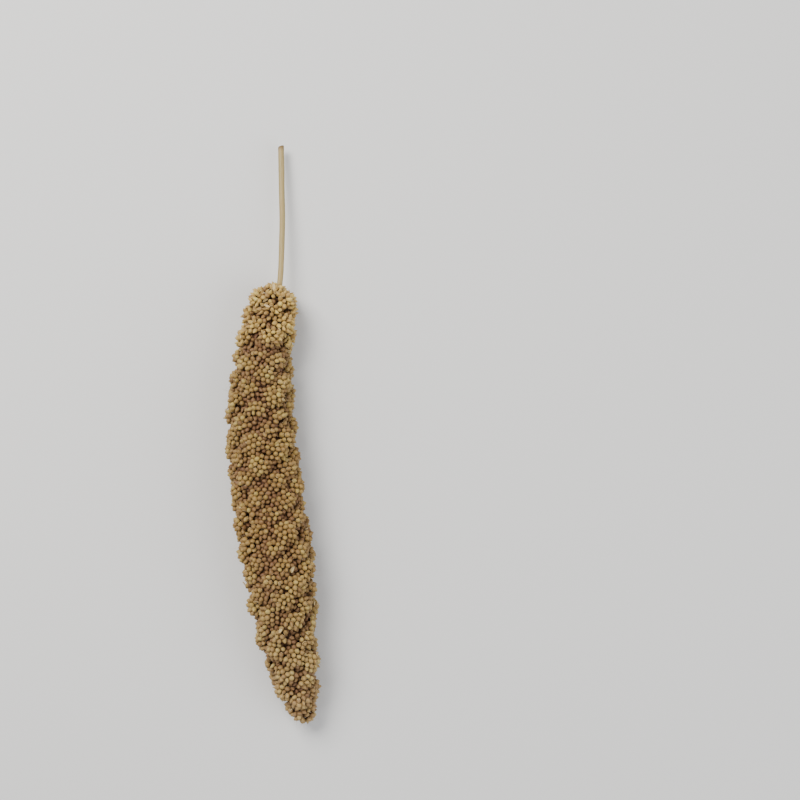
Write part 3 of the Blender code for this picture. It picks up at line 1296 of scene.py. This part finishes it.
@dataclass
class HeadSeeds:
    """The seeds in their husks, one piece for each stretch of the head."""

    places: SeedPlaces
    scatter: ShapeScatter
    finish: HuskFinish = field(default_factory=HuskFinish)
    stretches: tuple[SeedStretch, ...] = (
        SeedStretch("seeds_shoulder", -1.0, 0.14, 0.78),
        SeedStretch("seeds_upper", 0.14, 0.36, 0.08),
        SeedStretch("seeds_middle", 0.36, 0.62, 0.05),
        SeedStretch("seeds_lower", 0.62, 2.0, 0.07),
    )
    round_shapes: tuple[SeedShape, ...] = (
        SeedShape(2.10, 2.02, 1.88),
        SeedShape(2.02, 1.96, 1.84, fullest=0.50, point=0.15),
        SeedShape(2.20, 1.92, 1.78, fullest=0.44, point=0.35),
    )
    long_shapes: tuple[SeedShape, ...] = (
        SeedShape(2.85, 1.80, 1.45, fullest=0.42, point=0.55, glume_reach=0.62),
        SeedShape(2.60, 1.90, 1.50, fullest=0.45, point=0.45, glume_reach=0.55),
    )
    least_size: float = 0.86
    greatest_size: float = 1.08
    floor_room: float = 1.06
    mean_tint: float = 0.52
    tint_spread: float = 0.20
    random_seed: int = 41

    def build(self) -> list[bpy.types.Object]:
        """Makes and dresses every stretch.

        Returns:
            The pieces.
        """
        material = self.finish.material()
        draw = random.Random(self.random_seed)
        kinds = {kind: self._collection(kind, self._shapes(kind)) for kind in SeedKind}
        pieces = []
        for stretch in self.stretches:
            members: dict[SeedKind, list[int]] = {kind: [] for kind in SeedKind}
            for k in range(len(self.places)):
                if stretch.start <= self.places.along[k] < stretch.end:
                    long = draw.random() < stretch.long_share
                    members[SeedKind.LONG if long else SeedKind.ROUND].append(k)
            parts = [
                self._grow(f"{stretch.name}_{kind.value}", members[kind], kind, kinds[kind], material, draw)
                for kind in SeedKind if members[kind]
            ]
            pieces.append(joined(stretch.name, parts))
        for collection in kinds.values():
            drop_collection(collection)
        return pieces

    @staticmethod
    def _collection(kind: SeedKind, shapes: Iterable[SeedShape]) -> bpy.types.Collection:
        """Seed shapes of one kind in a collection.

        Args:
            kind: the kind.
            shapes: its shapes.

        Returns:
            The collection, not in the scene.
        """
        collection = bpy.data.collections.new(f"{kind.value}_seed_shapes")
        for n, shape in enumerate(shapes):
            collection.objects.link(shape.build(f"{kind.value}_seed_{n}"))
        return collection

    def _shapes(self, kind: SeedKind) -> tuple[SeedShape, ...]:
        """The seed shapes of one kind."""
        return self.long_shapes if kind is SeedKind.LONG else self.round_shapes

    def _rested(self, number: int, kind: SeedKind) -> Vector:
        """A seed's place, raised where the seed would reach below the floor.

        Args:
            number: number of the place.
            kind: the seed's kind.

        Returns:
            The place, in millimetres.
        """
        shapes = self._shapes(kind)
        place, down = self.places.places[number], self.places.outwards[number].z
        half_long = max(shape.length for shape in shapes) * self.greatest_size / 2.0
        half_wide = max(shape.width for shape in shapes) * self.greatest_size / 2.0
        reach = math.hypot(half_long * down, half_wide * math.sqrt(max(1.0 - down * down, 0.0)))
        return Vector((place.x, place.y, max(place.z, reach * self.floor_room)))

    def _grow(self, name: str, members: Sequence[int], kind: SeedKind, shapes: bpy.types.Collection,
              material: bpy.types.Material, draw: random.Random) -> bpy.types.Object:
        """Seeds of one kind on their places.

        Args:
            name: the piece's name.
            members: numbers of the places.
            kind: the kind.
            shapes: its shapes.
            material: the husk material.
            draw: source of random numbers.

        Returns:
            The piece.
        """
        places = self.places
        numbers = {
            "facing": [turned_to(places.outwards[k], draw.uniform(0.0, math.tau)) for k in members],
            "tint": [min(max(draw.gauss(self.mean_tint, self.tint_spread), 0.0), 1.0) for _ in members],
            "depth": [places.depth[k] for k in members],
            "along": [min(max(places.along[k], 0.0), 1.0) for k in members],
        }
        points = mesh_object(name, [self._rested(k, kind) for k in members], [], numbers=numbers)
        return self.scatter.run(points, {
            "Shapes": shapes, "Shape Count": len(shapes.objects), "Least Size": self.least_size,
            "Greatest Size": self.greatest_size, "Random Seed": self.random_seed, "Finish": material,
        }, name)


def drop_collection(collection: bpy.types.Collection) -> None:
    """Removes a collection of shapes that has served.

    Args:
        collection: the collection.
    """
    for shape in list(collection.objects):
        bpy.data.objects.remove(shape)
    bpy.data.collections.remove(collection)


def joined(name: str, parts: Sequence[bpy.types.Object]) -> bpy.types.Object:
    """Several pieces as one.

    Args:
        name: the joined piece's name.
        parts: the pieces, which are used up.

    Returns:
        The piece.
    """
    if len(parts) > 1:
        with bpy.context.temp_override(active_object=parts[0], selected_editable_objects=list(parts)):
            bpy.ops.object.join()
    parts[0].name = name
    parts[0].data.name = name
    return parts[0]


@dataclass
class LooseChaff:
    """Papery scales caught between the seeds, most of them near the shoulder."""

    places: SeedPlaces
    scatter: ShapeScatter
    finish: ChaffFinish = field(default_factory=ChaffFinish)
    shapes: tuple[FlakeShape, ...] = (
        FlakeShape(),
        FlakeShape(2.0, 1.0, 0.5),
        FlakeShape(2.9, 1.0, 0.35),
    )
    shoulder_share: float = 0.035
    elsewhere_share: float = 0.012
    shoulder_end: float = 0.15
    deepest: float = 0.5
    lowest_facing: float = -0.5
    lift: float = 0.62
    aside: float = 0.75
    tilts: tuple[float, float] = (0.2, 0.9)
    floor_room: float = 1.6
    least_size: float = 0.6
    random_seed: int = 67

    def build(self) -> bpy.types.Object:
        """Makes and dresses the chaff.

        Returns:
            The piece.
        """
        draw = random.Random(self.random_seed)
        collection = bpy.data.collections.new("chaff_shapes")
        for n, shape in enumerate(self.shapes):
            collection.objects.link(shape.build(f"chaff_{n}"))
        spots, facing, tint = [], [], []
        for place, outward, along, depth in zip(
            self.places.places, self.places.outwards, self.places.along, self.places.depth
        ):
            share = self.shoulder_share if along < self.shoulder_end else self.elsewhere_share
            if draw.random() > share or depth > self.deepest or outward.z < self.lowest_facing:
                continue
            roll = draw.uniform(0.0, math.tau)
            sideways = outward.orthogonal().normalized()
            sideways.rotate(Quaternion(outward, roll))
            spot = place + outward * self.lift + sideways * self.aside
            spots.append(Vector((spot.x, spot.y, max(spot.z, self.floor_room))))
            tilted = outward + sideways * draw.uniform(*self.tilts)
            facing.append(turned_to(tilted.normalized(), roll))
            tint.append(draw.random())
        points = mesh_object("chaff", spots, [], numbers={"facing": facing, "tint": tint})
        piece = self.scatter.run(points, {
            "Shapes": collection, "Shape Count": len(self.shapes), "Least Size": self.least_size,
            "Greatest Size": 1.0, "Random Seed": self.random_seed, "Finish": self.finish.material(),
        }, "chaff")
        drop_collection(collection)
        return piece


@dataclass
class Bristles:
    """Fine bristles that rise from among the seeds."""

    places: SeedPlaces
    finish: BristleFinish = field(default_factory=BristleFinish)
    share: float = 0.34
    length: float = 3.5
    thickness: float = 0.038
    bend: float = 0.9
    taper: float = 0.8
    deepest: float = 0.55
    floor_room: float = 0.1
    least_size: float = 0.55
    foot: float = 0.5
    lean: float = 0.35
    scatter: float = 0.32
    random_seed: int = 89

    def build(self) -> bpy.types.Object:
        """Makes and dresses the bristles.

        Returns:
            The piece.
        """
        draw = random.Random(self.random_seed)
        axis = self.places.outline.axis
        feet, facing = [], []
        for place, outward, along, depth in zip(
            self.places.places, self.places.outwards, self.places.along, self.places.depth
        ):
            if draw.random() > self.share or depth > self.deepest:
                continue
            tangent = axis.at(min(max(along, 0.0), 1.0) * axis.length)[1]
            wander = Vector([draw.gauss(0.0, self.scatter) for _ in range(3)])
            rise = (outward + tangent * self.lean + wander).normalized()
            aside = outward.orthogonal().normalized()
            aside.rotate(Quaternion(outward, draw.uniform(0.0, math.tau)))
            foot = place - outward * self.foot + aside * self.places.seed_half
            end = foot + rise * self.length
            if foot.z < self.floor_room or end.z < self.bend + self.floor_room:
                continue
            feet.append(foot)
            facing.append(turned_to(rise, draw.uniform(0.0, math.tau)))
        points = mesh_object("bristles", feet, [], numbers={"facing": facing})
        return BristleScatter().run(points, {
            "Length": self.length * METRES, "Thickness": self.thickness * METRES, "Bend": self.bend * METRES,
            "Taper": self.taper, "Least Size": self.least_size, "Random Seed": self.random_seed,
            "Finish": self.finish.material(),
        }, "bristles")


@dataclass
class InnerHead:
    """What shows between the clusters: side branches that leave the stem, round a filled middle, dark with
    painted shade.
    """

    outline: HeadOutline
    finish: BranchFinish = field(default_factory=BranchFinish)
    branch_radius: float = 0.55
    branch_sides: int = 6
    branch_lean: float = 5.0
    filling_depth: float = 4.7
    rows: int = 64
    columns: int = 24
    lumps: float = 0.4
    lowest: float = 0.6

    def build(self) -> list[bpy.types.Object]:
        """Makes and dresses the branches and the filling.

        Returns:
            The pieces.
        """
        material = self.finish.material()
        return [self._branches(material), self._filling(material)]

    def _branches(self, material: bpy.types.Material) -> bpy.types.Object:
        """Side branches from the stem to each cluster.

        Args:
            material: their finish.

        Returns:
            The piece.
        """
        axis = self.outline.axis
        mesh = bpy.data.meshes.new("side_branches")
        points: list[Vector] = []
        for cluster in self.outline.clusters():
            s, _ = axis.nearest(cluster.centre)
            points.append(axis.at(max(s - self.branch_lean, 0.5))[0])
            points.append(cluster.centre)
        edges = [(k, k + 1) for k in range(0, len(points), 2)]
        mesh.from_pydata([tuple(point * METRES) for point in points], edges, [])
        lines = bpy.data.objects.new("side_branches", mesh)
        return TwigSweep().run(lines, {
            "Radius": self.branch_radius * METRES, "Sides": self.branch_sides, "Finish": material,
        }, "side_branches")

    def _filling(self, material: bpy.types.Material) -> bpy.types.Object:
        """The middle, as one closed lumpy form, dark with painted shade for the inside of the head.

        Args:
            material: its finish.

        Returns:
            The piece.
        """
        outline = self.outline
        draw = random.Random(outline.random_seed)
        vertices: list[Vector] = []
        for row in range(1, self.rows):
            for column in range(self.columns):
                u = outline.total * row / self.rows
                start, outward, radius = outline.ray(u, math.tau * column / self.columns)
                lump = draw.uniform(-self.lumps, self.lumps)
                point = start + outward * (radius - self.filling_depth + lump)
                vertices.append(Vector((point.x, point.y, max(point.z, self.lowest))))
        faces: list[tuple[int, ...]] = []
        for row in range(self.rows - 2):
            for column in range(self.columns):
                after = (column + 1) % self.columns
                a, b = row * self.columns, (row + 1) * self.columns
                faces.append((a + column, a + after, b + after, b + column))
        faces.append(tuple(range(self.columns)))
        faces.append(tuple((self.rows - 2) * self.columns + column for column in range(self.columns)))
        made = face_outwards(mesh_object("inner_filling", vertices, faces))
        made.data.materials.append(material)
        bpy.context.scene.collection.objects.link(made)
        return made


@dataclass
class Stalk:
    """The ribbed straw from its cut end into the head."""

    axis: PlantAxis
    finish: StrawFinish = field(default_factory=StrawFinish)
    radius_cut: float = 0.98
    radius_neck: float = 0.86
    depth: float = 13.2
    step: float = 0.8
    sides: int = 72
    ribs: int = 12
    rib_depth: float = 0.035
    rib_drift: float = 0.35
    rib_drift_rate: float = 0.12
    cut_slope: float = 0.35
    cut_turn: float = 0.6
    cut_roughness: float = 0.05
    rind: float = 0.17
    recess: float = 0.22
    browned: float = 1.6
    swells: tuple[tuple[float, float], ...] = ((0.012, 0.55), (0.008, 1.7))
    sway: float = 0.05
    sway_rate: float = 0.3
    lane_radius: float = 1.2
    lane_stretch: float = 0.035
    random_seed: int = 5

    def build(self) -> bpy.types.Object:
        """Makes and dresses the stalk.

        Returns:
            The piece.
        """
        draw = random.Random(self.random_seed)
        phases = [draw.uniform(0.0, math.tau) for _ in range(4)]
        reach = self.depth - self.axis.start
        count = round(reach / self.step)
        vertices: list[Vector] = []
        lane, near_cut, groove, pith = [], [], [], []
        for row in range(count + 1):
            share = row / count
            s = self.axis.start + reach * share
            plain = self.radius_cut + (self.radius_neck - self.radius_cut) * share
            for (much, rate), phase in zip(self.swells, phases):
                plain += self.radius_cut * much * math.sin(s * rate + phase)
            point, tangent, side, up = self.axis.at(s)
            swayed = self.sway * math.sin(s * self.sway_rate + phases[2]) * min(share * 4.0, 1.0)
            point = point + side * swayed
            drift = self.rib_drift * math.sin(s * self.rib_drift_rate + phases[3])
            for k in range(self.sides):
                turn = math.tau * k / self.sides
                valley = (0.5 - 0.5 * math.cos(turn * self.ribs + drift)) ** 2
                radius = plain * (1.0 - self.rib_depth * valley)
                spot = point + (side * math.cos(turn) + up * math.sin(turn)) * radius
                if row == 0:
                    uneven = self.cut_roughness * draw.uniform(-1.0, 1.0)
                    spot += tangent * (self.cut_slope * math.cos(turn + self.cut_turn) + uneven)
                vertices.append(spot)
                round_lane = (math.cos(turn) * self.lane_radius, math.sin(turn) * self.lane_radius)
                lane.append((*round_lane, s * self.lane_stretch))
                near_cut.append(max(1.0 - (s - self.axis.start) / self.browned, 0.0))
                groove.append(valley)
                pith.append(0.0)
        faces = self._walls(count)
        self._cut_end(vertices, faces, (lane, near_cut, groove, pith))
        faces.append(tuple(count * self.sides + k for k in range(self.sides)))
        numbers = {"lane": lane, "near_cut": near_cut, "groove": groove, "pith": pith}
        made = face_outwards(mesh_object("straw_stalk", vertices, faces, numbers=numbers))
        made.data.materials.append(self.finish.material())
        bpy.context.scene.collection.objects.link(made)
        return made

    def _walls(self, count: int) -> list[tuple[int, ...]]:
        """Faces between the rows of the stalk.

        Args:
            count: number of steps along it.

        Returns:
            The faces.
        """
        faces: list[tuple[int, ...]] = []
        for row in range(count):
            a, b = row * self.sides, (row + 1) * self.sides
            for k in range(self.sides):
                after = (k + 1) % self.sides
                faces.append((a + k, a + after, b + after, b + k))
        return faces

    def _cut_end(self, vertices: list[Vector], faces: list[tuple[int, ...]],
                 numbers: tuple[list, list, list, list]) -> None:
        """Closes the cut end with its rind and sunken pith.

        Args:
            vertices: the stalk's points, added to.
            faces: the stalk's faces, added to.
            numbers: lane, near_cut, groove and pith values, added to.
        """
        centre, tangent, _, _ = self.axis.at(self.axis.start)
        outer = list(range(self.sides))
        rings = ((1.0 - self.rind, 0.0, 0.25), (0.72, self.recess, 0.9), (0.3, self.recess * 0.7, 1.0))
        for share, sunk, pale in rings:
            first = len(vertices)
            for k in range(self.sides):
                rim = vertices[k] - centre
                ahead = tangent * rim.dot(tangent)
                vertices.append(centre + ahead + (rim - ahead) * share + tangent * sunk)
                numbers[0].append((rim.x * share, rim.z * share, 2.0))
                numbers[1].append(0.55)
                numbers[2].append(0.0)
                numbers[3].append(pale)
            inner = list(range(first, first + self.sides))
            for k in range(self.sides):
                after = (k + 1) % self.sides
                faces.append((outer[after], outer[k], inner[k], inner[after]))
            outer = inner
        faces.append(tuple(outer))


@dataclass(frozen=True)
class SoftLight:
    """A square area light: where it hangs and its side in metres, its power in watts, and its colour."""

    name: str
    place: tuple[float, float, float]
    size: float
    power: float
    colour: tuple[float, float, float]

    def hang(self) -> None:
        """Puts the light in the scene, facing the head."""
        lamp = bpy.data.lights.new(self.name, "AREA")
        lamp.shape = "SQUARE"
        lamp.size = self.size
        lamp.energy = self.power
        lamp.color = self.colour
        made = bpy.data.objects.new(self.name, lamp)
        made.location = self.place
        made.rotation_euler = (-Vector(self.place)).to_track_quat("-Z", "Y").to_euler()
        bpy.context.scene.collection.objects.link(made)


@dataclass
class Studio:
    """The pale floor, the soft lights and the camera over the head."""

    lights: tuple[SoftLight, ...] = (
        SoftLight("key", (-0.30, 0.42, 0.62), 0.42, 9.0, (1.0, 0.98, 0.95)),
        SoftLight("fill", (0.62, -0.20, 0.55), 0.70, 4.0, (0.95, 0.97, 1.0)),
    )
    surround: float = 0.58
    surround_colour: Colour = (0.93, 0.95, 1.0, 1.0)
    floor_half: float = 1.6
    frame_width: float = 0.256
    look_at: tuple[float, float] = (0.0419, 0.0336)
    level: float = 0.0106
    distance: float = 0.62
    sensor: float = 36.0
    finish: FloorFinish = field(default_factory=FloorFinish)

    def build(self) -> None:
        """Makes the floor, the lights and the camera."""
        half = self.floor_half / METRES
        corners = [(-half, -half, 0.0), (half, -half, 0.0), (half, half, 0.0), (-half, half, 0.0)]
        floor = mesh_object("floor", corners, [(0, 1, 2, 3)], smooth=False)
        floor.data.materials.append(self.finish.material())
        bpy.context.scene.collection.objects.link(floor)
        for light in self.lights:
            light.hang()
        self._world()
        self._camera()

    def _world(self) -> None:
        """Even pale light from all round."""
        world = bpy.data.worlds.new("studio")
        world.use_nodes = True
        background = world.node_tree.nodes["Background"]
        background.inputs["Color"].default_value = self.surround_colour
        background.inputs["Strength"].default_value = self.surround
        bpy.context.scene.world = world

    def _camera(self) -> None:
        """A camera that looks straight down, with the stalk at the top of the picture."""
        lens = bpy.data.cameras.new("camera")
        lens.sensor_width = self.sensor
        lens.lens = self.sensor * self.distance / self.frame_width
        made = bpy.data.objects.new("camera", lens)
        made.location = (self.look_at[0], self.look_at[1], self.level + self.distance)
        bpy.context.scene.collection.objects.link(made)
        bpy.context.scene.camera = made


def hand_over(piece: bpy.types.Object, node: str) -> None:
    """Gives a finished piece to the frame.

    Args:
        piece: the piece.
        node: the solid that it stands for.
    """
    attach(piece, "root")
    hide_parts(node)
    piece.data.calc_loop_triangles()
    LOG.info("%s: %d triangles", piece.name, len(piece.data.loop_triangles))


def main() -> None:
    """Builds the plant and the studio, and reports each piece."""
    logging.basicConfig(level=logging.INFO, format="%(name)s: %(message)s")
    axis = PlantAxis()
    outline = HeadOutline(axis)
    places = SeedPlaces(outline)
    LOG.info("%d clusters, %d seeds", len(places.clusters), len(places))
    scatter = ShapeScatter()
    hand_over(Stalk(axis).build(), "stalk")
    inner = InnerHead(outline).build()
    seeds = HeadSeeds(places, scatter).build()
    for piece in (*inner, *seeds, LooseChaff(places, scatter).build(), Bristles(places).build()):
        hand_over(piece, "seed_head")
    Studio().build()


if __name__ == "__main__":
    main()
